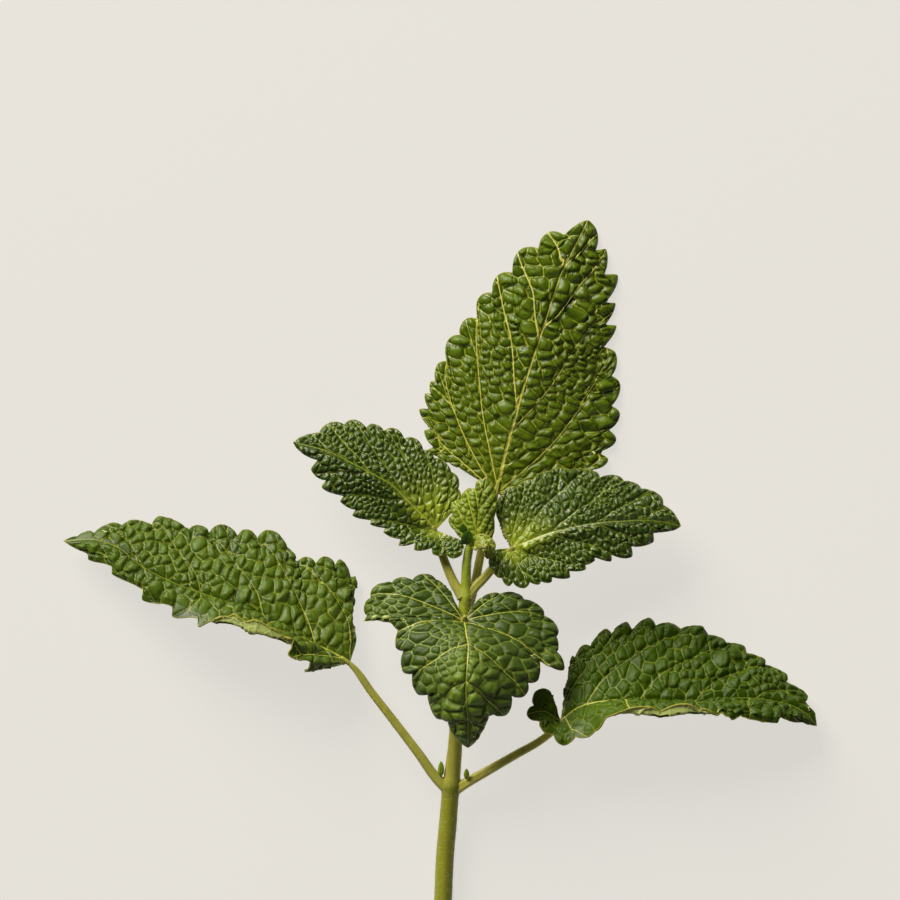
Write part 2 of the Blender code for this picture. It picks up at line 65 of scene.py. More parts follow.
# A leaf's points are (x, y) in pixels and a height in mm. On an edge each is a notch, and the two
# numbers more are the next tooth's height, as a share of its width, and where along it its peak is.
# A pull moves the blade near one place. Pillow, dome, cell and tilt shape the puckers between veins.
BACK_LEAF = dict(
    midrib=[(497, 492, 2.3), (505, 455, 2.8), (513, 425, 3.1), (522, 393, 3.2), (531, 365, 3.2),
            (541, 335, 3.0), (553, 297, 2.6), (564, 267, 2.1), (575, 246, 1.7), (588, 220, 1.1)],
    left=[(452, 463, 1.4, 0.4, 0.85),
          (434, 447, 1.2, 0.4, 0.85), (431, 429, 1.0, 0.5, 0.88), (429, 409, 0.9, 0.4, 0.85),
          (431, 394, 0.8, 0.4, 0.8), (436, 382, 0.8, 0.3), (447, 361, 0.8, 0.28, 0.55),
          (460, 335, 0.8, 0.35, 0.55), (478, 319, 0.8, 0.36, 0.5), (493, 293, 0.9, 0.32, 0.5),
          (513, 273, 0.9, 0.34, 0.5), (539, 249, 0.9, 0.36, 0.5), (564, 235, 1.0, 0.08)],
    right=[(510, 506, 2.0, 0.1), (530, 508, 1.8), (556, 499, 1.6), (582, 481, 1.4, 0.3),
           (592, 469, 1.2, 0.75, 0.6), (597, 452, 1.1, 0.5, 0.6), (608, 430, 0.9, 0.4),
           (611, 406, 0.8, 0.3), (611, 376, 0.8, 0.36), (604, 347, 0.8, 0.55, 0.88),
           (605, 325, 0.9, 0.5, 0.9), (605, 303, 0.9, 0.5, 0.86), (604, 275, 0.9, 0.45, 0.9),
           (595, 251, 1.0, 0.22, 0.5)],
    stalk=[(462, 643, 6.8), (464, 634, 5.7), (468, 610, 5.1), (475, 583, 4.4), (479, 562, 3.9),
           (486, 530, 3.0), (493, 505, 2.5), (499, 480, 2.5)],
    left_veins=((0.10, 0.14), (0.24, 0.36), (0.46, 0.53), (0.69, 0.66), (0.81, 0.76), (0.925, 0.87)),
    right_veins=((0.10, 0.16), (0.22, 0.32), (0.44, 0.63), (0.643, 0.80), (0.837, 0.90), (0.93, 0.955)),
    lift=0.5, teeth=0.32, pillow=0.25, dome=0.5, cell=1.42, coarser=0.35, tilt=0.22, vein=0.85)


def metres(points):
    """Picture places and heights in millimetres, as metres in the sprig's own frame."""
    points = np.array([point[:3] for point in points], float)
    height = points[:, 2:3] * MM
    seen = np.array(VIEW) + (points[:, :2] - VIEW) * (1.0 - height / VIEW_HEIGHT)
    return np.hstack(((seen - ORIGIN) * PIXEL * (1.0, -1.0), height))


def unit(vectors):
    return vectors / np.maximum(np.linalg.norm(vectors, axis=-1, keepdims=True), 1e-12)


def knots(points):
    """Share of a line's length at which each of its points lies."""
    length = np.concatenate(([0.0], np.cumsum(np.linalg.norm(np.diff(points, axis=0), axis=1))))
    return length / length[-1]


def along(points, share):
    """Smooth curve through the points, read at shares of its length."""
    place = knots(points)
    slope = np.gradient(points, place, axis=0)
    i = np.clip(np.searchsorted(place, share, side="right") - 1, 0, len(place) - 2)
    width = (place[i + 1] - place[i])[:, None]
    w = (share - place[i])[:, None] / width
    start = (1 + 2 * w) * (1 - w) ** 2 * points[i] + w * (1 - w) ** 2 * width * slope[i]
    end = w * w * (3 - 2 * w) * points[i + 1] - w * w * (1 - w) * width * slope[i + 1]
    return start + end


def edge_marks(leaf, side):
    """Notches along the edge from base to tip, and for each the next tooth's height and peak."""
    marks = leaf[side] + [leaf["midrib"][-1]]
    height = np.array([mark[3] if len(mark) > 3 else leaf["teeth"] for mark in marks])
    peak = np.array([mark[4] if len(mark) > 4 else 0.62 for mark in marks])
    return metres(marks), height, peak


def tooth_wave(edge, peak, share, sharp):
    """Which tooth each place on the edge is in, and how far out it stands, from 0 to 1."""
    place = knots(edge)
    i = np.clip(np.searchsorted(place, share, side="right") - 1, 0, len(place) - 2)
    w = np.clip((share - place[i]) / (place[i + 1] - place[i]), 0, 1)
    fullness = 0.7 + 0.8 * np.clip(peak[i] - 0.6, 0, 1)
    rise = np.sin(math.pi / 2 * np.clip(w / peak[i], 0, 1)) ** fullness
    fall = np.cos(math.pi / 2 * np.clip((w - peak[i]) / (1 - peak[i]), 0, 1)) ** 0.8
    rise, fall = rise ** sharp, fall ** sharp
    return i, rise * fall


def base_normal(leaf):
    """The direction square to the veins that leave the blade's base."""
    midrib = metres(leaf["midrib"])
    spokes = [midrib[1] - midrib[0]]
    for side in ("left", "right"):
        places = edge_share(leaf, side, np.linspace(0, leaf.get("fan", FAN), 6))
        spokes.extend(along(edge_marks(leaf, side)[0], places) - midrib[0])
    return np.linalg.svd(unit(np.array(spokes)))[2][2]


def midrib_share(leaf, share):
    """How far along the midrib the side veins of a share start: up to the fan, all at the base."""
    fan = leaf.get("fan", FAN)
    return np.clip((share - fan) / (1 - fan), 0, 1) ** leaf.get("fan_power", FAN_POWER)


def edge_share(leaf, side, share):
    """How far along the edge the side veins of a share end; a lag holds them back near the base."""
    return share * (1 - leaf.get(side + "_lag", 0.0) * (1 - share))


def ribs(leaf, side, share, t):
    """Points on one half of the blade without its teeth: t runs from the midrib to the edge."""
    edge = edge_marks(leaf, side)[0]
    middle = midrib_share(leaf, share)
    start = along(metres(leaf["midrib"]), middle)
    reach = along(edge, edge_share(leaf, side, share)) - start
    normal = base_normal(leaf)
    flatter = (1 - middle) ** 4 * t * (1 - t) ** 2 * (reach @ normal)
    spots = start + reach * t[:, None] - flatter[:, None] * normal
    spots[:, 2] += np.sin(math.pi * share) * 4 * t * (1 - t) * leaf["lift"] * MM
    for which, place, spread, centre, width, x, y, z in leaf.get("pulls", ()):
        if which == side:
            near = np.exp(-((share - place) / spread) ** 2 - ((t - centre) / width) ** 2)
            near *= np.clip(4 * t, 0, 1) * np.clip(4 - 4 * t, 0, 1)
            spots += near[:, None] * np.array((x * PIXEL, -y * PIXEL, z * MM))
    return spots


def half_blade(leaf, side, share, t):
    """One half of the blade with its teeth, which turn down a little at their tips."""
    edge, ratios, peak = edge_marks(leaf, side)
    spots = ribs(leaf, side, share, t)
    rim = np.ones_like(t)
    outward = unit(ribs(leaf, side, share, rim) - ribs(leaf, side, share, 0.9 * rim))
    place = edge_share(leaf, side, share)
    step = 0.01
    edgewise = unit(along(edge, np.clip(place + step, 0, 1)) - along(edge, np.clip(place - step, 0, 1)))
    outward = unit(outward - 0.8 * np.sum(outward * edgewise, axis=1, keepdims=True) * edgewise)
    outward = unit(outward * (1.0, 1.0, leaf.get(side + "_flare", 1.0)))
    i, wave = tooth_wave(edge, peak, place, leaf.get(side + "_sharp", 1.0))
    chord = np.linalg.norm(np.diff(edge, axis=0), axis=1)[i]
    return spots + outward * (ratios[i] * chord * wave * np.clip(2.5 * t - 1.5, 0, 1))[:, None]


def ripple(places, scale, draw):
    """A smooth random wave over the places, about -1 to 1, its bumps about one scale wide."""
    total = np.zeros(len(places))
    for _ in range(7):
        wave = draw.normal(size=3)
        total += np.sin(places @ (wave * 3.0 / (scale * np.linalg.norm(wave))) + draw.uniform(0, 6.28))
    return total / 2.6


def scatter(places, free, gap, draw):
    """Random seeds among the free places, no two nearer than the gap there."""
    left = np.flatnonzero(free)
    seeds = []
    while len(left):
        pick = left[draw.integers(len(left))]
        seeds.append(pick)
        left = left[np.linalg.norm(places[left] - places[pick], axis=1) > gap[pick]]
    return places[seeds]


def cells(places, seeds):
    """Each place's distance from its cell's border, the way there, and which cell it is in."""
    borders, ways, owners = [], [], []
    for part in np.array_split(places, 60):
        gaps = np.sqrt(np.maximum(np.sum(part ** 2, axis=1)[:, None] + np.sum(seeds ** 2, axis=1)
                                  - 2 * part @ seeds.T, 0))
        last = min(3, len(seeds) - 1)
        near = np.argpartition(gaps, last, axis=1)[:, :last + 1]
        order = np.argsort(np.take_along_axis(gaps, near, 1), axis=1)
        near = np.take_along_axis(near, order, 1)
        gap = np.take_along_axis(gaps, near, 1)
        across = seeds[near[:, 1:]] - seeds[near[:, :1]]
        border = (gap[:, 1:] ** 2 - gap[:, :1] ** 2) / (2 * np.linalg.norm(across, axis=2))
        nearest = np.argmin(border, axis=1)
        rows = np.arange(len(part))
        borders.append(border[rows, nearest])
        ways.append(unit(across[rows, nearest]) * border[rows, nearest][:, None])
        owners.append(near[:, 0])
    return np.concatenate(borders), np.concatenate(ways), np.concatenate(owners)


def puff(distance, width):
    """Rounded cushion profile: 0 on a line, 1 from the width on."""
    return 1 - (1 - np.clip(distance / width, 0, 1)) ** 2.2


def course(main, t):
    """Share of the edge that a side vein points at, where it is t of the way out."""
    return main[0] + (main[1] - main[0]) * t ** 2 + 0.003 * np.sin(11 * t + 40 * main[0])


def on_veins(leaf, side, share, t, rows):
    """The shares with those within half a row of a side vein moved onto it."""
    for main in leaf.get(side + "_veins", SIDE_VEINS):
        line = course(main, t)
        share = np.where(np.abs(share - line) < 0.5 / rows, line, share)
    return share


def vein_lines(leaf, side, share, t, spread, size, draw):
    """Distance from the side veins and their forks, in metres and in vein half widths."""
    place = knots(edge_marks(leaf, side)[0])
    steps = np.linspace(0, 1, 400)
    tips = np.interp(place[:-1] + np.diff(place) * 0.6, edge_share(leaf, side, steps), steps)
    distance = np.full(len(t), 1.0)
    widths = np.full(len(t), 9.0)
    mains = leaf.get(side + "_veins", SIDE_VEINS)
    for main in mains:
        d = np.abs(share - course(main, t)) * spread
        distance = np.minimum(distance, d)
        widths = np.minimum(widths, d / (size * (MAIN_VEIN - MAIN_VEIN_TAPER * t) * MM))
    for tip in tips:
        nearest = min(mains, key=lambda main: abs(main[1] - tip))
        if abs(nearest[1] - tip) > 0.03:
            fork = draw.uniform(0.66, 0.8)
            w = np.clip((t - fork) / (1 - fork), 0, 1)
            d = np.abs(share - course(nearest, t) - (tip - nearest[1]) * w ** 0.8) * spread
            d[t < fork] = 1.0
            distance = np.minimum(distance, d)
            widths = np.minimum(widths, d / (size * FORK_VEIN * MM))
    return distance, widths


def places_of(mesh):
    """The mesh's vertices as rows of x, y and z."""
    flat = np.empty(len(mesh.vertices) * 3)
    mesh.vertices.foreach_get("co", flat)
    return flat.reshape(-1, 3)


def blade(name, leaf, across, rows, seed, finishes):
    """A fine mesh of the blade, its puckers moved in, with the vein pattern kept as attributes."""
    draw = np.random.default_rng(seed)
    bpy.ops.object.select_all(action="DESELECT")
    bpy.ops.mesh.primitive_grid_add(x_subdivisions=2 * across, y_subdivisions=rows, size=2.0)
    piece = bpy.context.object
    piece.name = name
    mesh = piece.data
    flat = places_of(mesh)
    column = np.round((flat[:, 0] + 1) * across).astype(int)
    row = np.round((flat[:, 1] + 1) / 2 * rows).astype(int)
    order = np.lexsort((column, row))
    share = (row / rows)[order]
    x = (column / across - 1)[order]
    t = np.abs(x)
    right = x >= 0
    inner = (t > 0) & (t < 1)
    for side, mask in (("right", right & inner), ("left", ~right & inner)):
        share[mask] = on_veins(leaf, side, share[mask], t[mask], rows)
    spots = np.empty((len(t), 3))
    spots[right] = half_blade(leaf, "right", share[right], t[right])
    spots[~right] = half_blade(leaf, "left", share[~right], t[~right])

    sheet = spots.reshape(rows + 1, 2 * across + 1, 3)
    sideways = np.gradient(sheet, axis=1).reshape(-1, 3)
    forward = np.gradient(sheet, axis=0).reshape(-1, 3)
    square = np.cross(sideways, forward)
    area = np.linalg.norm(square, axis=1)
    fallback = base_normal(leaf)
    fallback = fallback * np.sign(fallback @ square.sum(axis=0))
    normal = np.where((area > 1e-13)[:, None], unit(square), fallback)
    spread = area / np.maximum(np.linalg.norm(sideways, axis=1), 1e-9) * rows

    midrib = metres(leaf["midrib"])
    length = np.linalg.norm(np.diff(midrib, axis=0), axis=1).sum()
    size = length / 0.055
    middle = midrib_share(leaf, share)
    start = along(midrib, middle)
    behind, before = np.clip(middle - 0.02, 0, 1), np.clip(middle + 0.02, 0, 1)
    tangent = unit(along(midrib, before) - along(midrib, behind))
    offset = spots - start
    ahead = np.sum(offset * tangent, axis=1)
    from_rib = np.where(ahead > 0, np.linalg.norm(offset - ahead[:, None] * tangent, axis=1),
                        np.linalg.norm(offset, axis=1))
    to_tip = 1 - np.clip(middle + np.maximum(ahead, 0) / length, 0, 1)
    rib_width = leaf.get("vein", 1.0) * size * (0.08 + 0.30 * to_tip ** 1.5) * MM
    distance, widths = np.empty(len(t)), np.empty(len(t))
    for side, mask in (("right", right), ("left", ~right)):
        distance[mask], widths[mask] = vein_lines(leaf, side, share[mask], t[mask], spread[mask],
                                                    size * leaf.get("vein", 1.0), draw)
    distance = np.minimum(distance, from_rib)
    widths = np.minimum(widths, from_rib / rib_width)

    reach = np.linalg.norm(np.gradient(sheet, axis=1), axis=2).reshape(-1) * across
    rim = np.minimum((1 - t) * reach, share * spread)
    from_base = np.linalg.norm(spots - midrib[0], axis=1)
    gap = leaf["cell"] * MM * (1 + 0.22 * ripple(spots, 6.0 * MM, draw))
    gap = gap * (1 + leaf.get("coarser", 0.0) * (np.clip(from_base / length, 0, 1) - 0.5))
    across_leaf = unit(np.cross(fallback, midrib[-1] - midrib[0]))
    warped = spots - SQUEEZE * (spots @ across_leaf)[:, None] * across_leaf
    shaken = np.stack([ripple(spots, 1.3 * leaf["cell"] * MM, draw) for _ in range(3)], axis=1)
    warped += 0.12 * gap[:, None] * shaken
    seeds = scatter(warped, (distance > 0.3 * gap) & (rim > 0.2 * gap), gap, draw)
    border, way, owner = cells(warped, seeds)
    way += SQUEEZE / (1 - SQUEEZE) * (way @ across_leaf)[:, None] * across_leaf
    reach_step = np.minimum(np.linalg.norm(sideways, axis=1), np.linalg.norm(forward, axis=1))
    snap = inner & (distance > reach_step) & (np.linalg.norm(way, axis=1) < 0.55 * reach_step)
    spots = spots + np.where(snap[:, None], way, 0)
    border = np.where(snap, 0, border)
    fine_seeds = scatter(warped, distance > 0.15 * gap, 0.5 * gap, draw)
    fine, _, fine_owner = cells(warped, fine_seeds)
    split = draw.random(len(seeds))[owner] < 0.75
    fine = np.where(split, fine, 0.5 * gap)
    net = np.minimum(border, distance)

    plump = draw.uniform(0.6, 1.2, len(seeds))[owner]
    plump_fine = draw.uniform(0.3, 1.3, len(fine_seeds))[fine_owner]
    tilt = draw.normal(0, leaf.get("tilt", 0.16), (len(seeds), 3))[owner]
    calm = np.clip(from_base / (4.0 * size * MM), 0, 1) * np.clip(0.2 + rim / (1.1 * MM), 0, 1)
    calm *= 0.55 + 0.6 * np.clip(from_base / (0.6 * length), 0, 1)
    rolled = np.where(right, leaf.get("right_rolled", 0.0), leaf.get("left_rolled", 0.0))
    calm *= 1 - rolled * np.clip((t - 0.45) / 0.2, 0, 1) * (np.abs(share - 0.5) < 0.22)
    height = leaf["pillow"] * (1 - np.exp(-distance / (1.3 * size * MM)))
    height += leaf["dome"] * plump * puff(np.minimum(border, 0.65 * distance), 0.58 * gap)
    height += np.sum(tilt * (warped - seeds[owner]), axis=1) / MM * puff(net, 0.3 * gap)
    height += 0.3 * leaf["dome"] * plump_fine * puff(np.minimum(fine, net), 0.2 * gap)
    height += 0.12 * ripple(spots, 4.0 * MM, draw) * leaf["dome"]
    from_ends = np.minimum(from_base, np.linalg.norm(spots - midrib[-1], axis=1))
    height *= calm * np.clip(from_ends / (2.0 * MM), 0, 1)
    height = np.minimum(height, 0.02 + leaf.get("crease", 2.0) * from_rib / MM)
    height += MIDRIB_RISE * size * np.exp(-(from_rib / rib_width) ** 2) * np.clip(from_ends / MM, 0, 1)
    height += VEIN_RISE * size * calm * np.exp(-(widths / 1.1) ** 2) * (from_rib > 2 * rib_width)
    spots = spots + normal * (height * MM)[:, None]
    spots[:, 2] = np.maximum(spots[:, 2], LOWEST_BLADE)

    placed = np.empty_like(spots)
    placed[order] = spots
    mesh.vertices.foreach_set("co", placed.ravel())
    # top: how high each place stands among its puckers; the pattern paints shade into the low places from
    # it.
    top = np.clip(height / (np.maximum(calm, 0.3) * (leaf["pillow"] + leaf["dome"])), 0, 1)
    ageing = np.where(right, leaf.get("right_age", 0.0), leaf.get("left_age", 0.0))
    age = from_base / length + ageing * t
    keep = {"veins": np.stack((np.clip(widths, 0, 9), net / MM, np.minimum(fine, net) / MM), axis=1),
            "form": np.stack((top, rim / MM, np.clip(age, 0, 1)), axis=1)}
    for label, values in keep.items():
        stored = np.empty_like(values)
        stored[order] = values
        mesh.attributes.new(label, "FLOAT_VECTOR", "POINT").data.foreach_set("vector", stored.ravel())
    thick = np.empty(len(t))
    thinner_ends = np.clip(0.12 + from_ends / (3.0 * MM), 0, 1)
    thick[order] = (0.38 + 0.62 * np.exp(-(widths / 1.6) ** 2) * (1 - 0.6 * t)) * thinner_ends
    group = piece.vertex_groups.new(name="vein thickness")
    for i, weight in enumerate(thick):
        group.add([i], float(weight), "REPLACE")
    bpy.ops.object.mode_set(mode="EDIT")
    bpy.ops.mesh.select_all(action="SELECT")
    bpy.ops.mesh.remove_doubles(threshold=BLADE_WELD)
    bpy.ops.object.mode_set(mode="OBJECT")
    for finish in finishes:
        mesh.materials.append(finish)
    wall = piece.modifiers.new("Thickness", "SOLIDIFY")
    wall.thickness = leaf.get("thickness", 0.8) * MM
    wall.offset = -1.0
    wall.vertex_group = "vein thickness"
    wall.material_offset = 1
    bpy.ops.object.modifier_apply(modifier="Thickness")
    return piece


def tube_place(centres, radii, profile, turn, row):
    """Points on a tube's wall, row by row and at a turn round its section, and the way out there."""
    tangent = unit(np.gradient(centres, axis=0))
    side = unit(np.cross(tangent, (0.0, 0.0, 1.0)))
    up = np.cross(side, tangent)
    ring = side[row] * np.cos(turn)[:, None] + up[row] * np.sin(turn)[:, None]
    radius = radii[row] * profile(turn, row / (len(centres) - 1))
    return centres[row] + ring * radius[:, None], ring


def tube(name, centres, radii, around, profile):
    """A closed tube along the centres; the profile gives its radius round the section."""
    bpy.ops.object.select_all(action="DESELECT")
    bpy.ops.mesh.primitive_grid_add(x_subdivisions=around, y_subdivisions=len(centres) - 1, size=2.0)
    piece = bpy.context.object
    piece.name = name
    flat = places_of(piece.data)
    turn = (flat[:, 0] + 1) * math.pi
    row = np.round((flat[:, 1] + 1) / 2 * (len(centres) - 1)).astype(int)
    spots, _ = tube_place(centres, radii, profile, turn, row)
    piece.data.vertices.foreach_set("co", spots.ravel())
    bpy.ops.object.mode_set(mode="EDIT")
    bpy.ops.mesh.select_all(action="SELECT")
    bpy.ops.mesh.remove_doubles(threshold=TUBE_WELD)
    bpy.ops.mesh.fill_holes(sides=0)
    bpy.ops.mesh.select_all(action="SELECT")
    bpy.ops.mesh.normals_make_consistent(inside=False)
    bpy.ops.object.mode_set(mode="OBJECT")
    return piece


def hairs(name, centres, radii, profile, count, length, seed):
    """Short soft hairs standing on a tube's wall: three-sided cones, their roots sunk in it."""
    draw = np.random.default_rng(seed)
    bpy.ops.object.select_all(action="DESELECT")
    bpy.ops.mesh.primitive_cone_add(vertices=3, radius1=1.0, depth=1.0, location=(0, 0, 0))
    piece = bpy.context.object
    piece.name = name
    copies = piece.modifiers.new("Copies", "ARRAY")
    copies.count = count
    copies.use_relative_offset = False
    bpy.ops.object.modifier_apply(modifier="Copies")
    shape = places_of(piece.data).reshape(count, -1, 3)
    row = draw.integers(2, len(centres) - 2, count)
    root, out = tube_place(centres, radii, profile, draw.uniform(0, 2 * math.pi, count), row)
    out = unit(out + draw.normal(0, 0.35, out.shape))
    across = unit(np.cross(out, draw.normal(size=out.shape)))
    beside = np.cross(out, across)
    tall = (length * draw.uniform(0.4, 1.2, count))[:, None, None]
    wide = 0.028 * MM
    section = shape[:, :, :1] * across[:, None] + shape[:, :, 1:2] * beside[:, None]
    spots = root[:, None] + wide * section
    spots = spots + (shape[:, :, 2:] + 0.35) * tall * out[:, None]
    spots[:, :, 2] = np.maximum(spots[:, :, 2], LOWEST_HAIR)
    piece.data.vertices.foreach_set("co", spots.ravel())
    piece.data.materials.append(HAIR)
    return piece


def channelled(turn, _):
    """Round section with a shallow channel along its upper side."""
    return 1.0 - 0.22 * np.exp(-((turn - math.pi / 2) / 0.42) ** 2) + 0.03 * np.cos(3 * turn)


def leaf_pattern():
    """Node group: the leaf's colours, gloss and fine skin from its vein and form attributes, with painted
    shade in the low places between its puckers.
    """
    group = bpy.data.node_groups.new("Leaf pattern", "ShaderNodeTree")
    face = group.interface
    for label in ("Hollow_shade_and_glands", "Dome", "Fine net", "Net", "Vein", "Base", "Rim"):
        face.new_socket(label, in_out="INPUT", socket_type="NodeSocketColor")
    for label in ("Base reach", "Far veins", "Dots", "Matt"):
        face.new_socket(label, in_out="INPUT", socket_type="NodeSocketFloat")
    face.new_socket("Color", in_out="OUTPUT", socket_type="NodeSocketColor")
    face.new_socket("Roughness", in_out="OUTPUT", socket_type="NodeSocketFloat")
    face.new_socket("Normal", in_out="OUTPUT", socket_type="NodeSocketVector")
    nodes, links = group.nodes, group.links
    given = nodes.new("NodeGroupInput")
    result = nodes.new("NodeGroupOutput")

    def ramp(value, low, high, top):
        made = nodes.new("ShaderNodeMapRange")
        made.interpolation_type = "SMOOTHSTEP"
        made.inputs["From Min"].default_value = low
        made.inputs["From Max"].default_value = high
        made.inputs["To Min"].default_value = top
        made.inputs["To Max"].default_value = 0.0
        links.new(value, made.inputs["Value"])
        return made.outputs["Result"]

    def mixed(factor, first, second):
        made = nodes.new("ShaderNodeMix")
        made.data_type = "RGBA"
        links.new(factor, made.inputs["Factor"])
        links.new(first, made.inputs["A"])
        links.new(second, made.inputs["B"])
        return made.outputs["Result"]

    def maths(operation, first, second):
        made = nodes.new("ShaderNodeMath")
        made.operation = operation
        for socket, value in zip(made.inputs, (first, second)):
            if isinstance(value, float):
                socket.default_value = value
            else:
                links.new(value, socket)
        return made.outputs["Value"]

    def noise(scale, detail):
        made = nodes.new("ShaderNodeTexNoise")
        made.inputs["Scale"].default_value = scale
        made.inputs["Detail"].default_value = detail
        links.new(coordinates.outputs["Object"], made.inputs["Vector"])
        return made.outputs["Fac"]

    coordinates = nodes.new("ShaderNodeTexCoord")
    parts = []
    for label in ("veins", "form"):
        attribute = nodes.new("ShaderNodeAttribute")
        attribute.attribute_name = label
        separate = nodes.new("ShaderNodeSeparateXYZ")
        links.new(attribute.outputs["Vector"], separate.inputs["Vector"])
        parts.append(separate.outputs)
    veins, form = parts
    blotch = noise(260.0, 3.0)
    grain = noise(2600.0, 2.0)
    # Painted shade: darker where the blade lies low between its puckers and near the net, lighter on their
    # tops, mixed with random blotches.
    raised = maths("SUBTRACT", maths("MULTIPLY", form["X"], 0.9), ramp(veins["Y"], 0.0, 0.45, 0.5))
    shade_and_blotch = maths("ADD", maths("SUBTRACT", blotch, 0.5), maths("ADD", raised, 0.3))
    colour = mixed(shade_and_blotch, given.outputs["Hollow_shade_and_glands"], given.outputs["Dome"])
    near_base = maths("MULTIPLY", ramp(form["Z"], 0.02, 0.42, 1.0), given.outputs["Base reach"])
    colour = mixed(near_base, colour, given.outputs["Base"])
    colour = mixed(ramp(veins["Z"], 0.02, 0.09, 0.25), colour, given.outputs["Fine net"])
    colour = mixed(ramp(veins["Y"], 0.03, 0.15, 0.85), colour, given.outputs["Net"])
    shown = maths("MAXIMUM", ramp(form["Z"], 0.15, 0.5, 1.0), given.outputs["Far veins"])
    vein = maths("MULTIPLY", ramp(veins["X"], 0.4, 1.3, 0.95), shown)
    colour = mixed(vein, colour, given.outputs["Vein"])
    colour = mixed(ramp(form["Y"], 0.05, 0.20, 0.8), colour, given.outputs["Rim"])
    # The gland dots take the same dark colour as the painted shade in the hollows.
    glands = nodes.new("ShaderNodeTexVoronoi")
    glands.inputs["Scale"].default_value = 420.0
    links.new(coordinates.outputs["Object"], glands.inputs["Vector"])
    dots = maths("MULTIPLY", ramp(glands.outputs["Distance"], 0.05, 0.11, 1.0), given.outputs["Dots"])
    colour = mixed(dots, colour, given.outputs["Hollow_shade_and_glands"])
    links.new(colour, result.inputs["Color"])
    rough = maths("ADD", maths("MULTIPLY", grain, 0.18), given.outputs["Matt"])
    links.new(maths("MULTIPLY", rough, maths("ADD", maths("MULTIPLY", form["X"], 0.3), 0.7)),
              result.inputs["Roughness"])
    skin = nodes.new("ShaderNodeBump")
    skin.inputs["Strength"].default_value = 0.35
    skin.inputs["Distance"].default_value = 0.00012
    links.new(noise(3200.0, 3.0), skin.inputs["Height"])
    links.new(skin.outputs["Normal"], result.inputs["Normal"])
    return group


PATTERN = leaf_pattern()
# In each set the darkest colour is painted shade for the low places between the puckers, and also colours
# the gland dots; the others are the leaf's own colours.
FRESH = dict(Hollow_shade_and_glands=(0.010, 0.028, 0.0003), Dome=(0.098, 0.150, 0.004), Net=(0.30, 0.33, 0.035),
             Vein=(0.50, 0.47, 0.09), Base=(0.16, 0.21, 0.010), Rim=(0.30, 0.27, 0.035))
FRESH["Fine net"] = (0.08, 0.13, 0.006)
PALE = dict(Hollow_shade_and_glands=(0.22, 0.28, 0.07), Dome=(0.36, 0.42, 0.14), Net=(0.44, 0.47, 0.16),
            Vein=(0.50, 0.50, 0.20), Base=(0.38, 0.42, 0.12), Rim=(0.40, 0.38, 0.10))
PALE["Fine net"] = (0.38, 0.43, 0.14)


def leaf_material(name, colours, reach, far_veins, specular, matt=0.28, dots=0.0):
    """Leaf tissue: waxy skin over green flesh, its colours, with painted shade in its hollows, laid by the
    pattern.
    """
    made = bpy.data.materials.new(name)
    made.use_nodes = True
    nodes, links = made.node_tree.nodes, made.node_tree.links
    shader = nodes["Principled BSDF"]
    pattern = nodes.new("ShaderNodeGroup")
    pattern.node_tree = PATTERN
    for label, value in colours.items():
        pattern.inputs[label].default_value = (*value, 1.0)
    pattern.inputs["Base reach"].default_value = reach
    pattern.inputs["Far veins"].default_value = far_veins
    pattern.inputs["Matt"].default_value = matt
    pattern.inputs["Dots"].default_value = dots
    links.new(pattern.outputs["Color"], shader.inputs["Base Color"])
    links.new(pattern.outputs["Roughness"], shader.inputs["Roughness"])
    links.new(pattern.outputs["Normal"], shader.inputs["Normal"])
    shader.inputs["Specular IOR Level"].default_value = specular
    return made


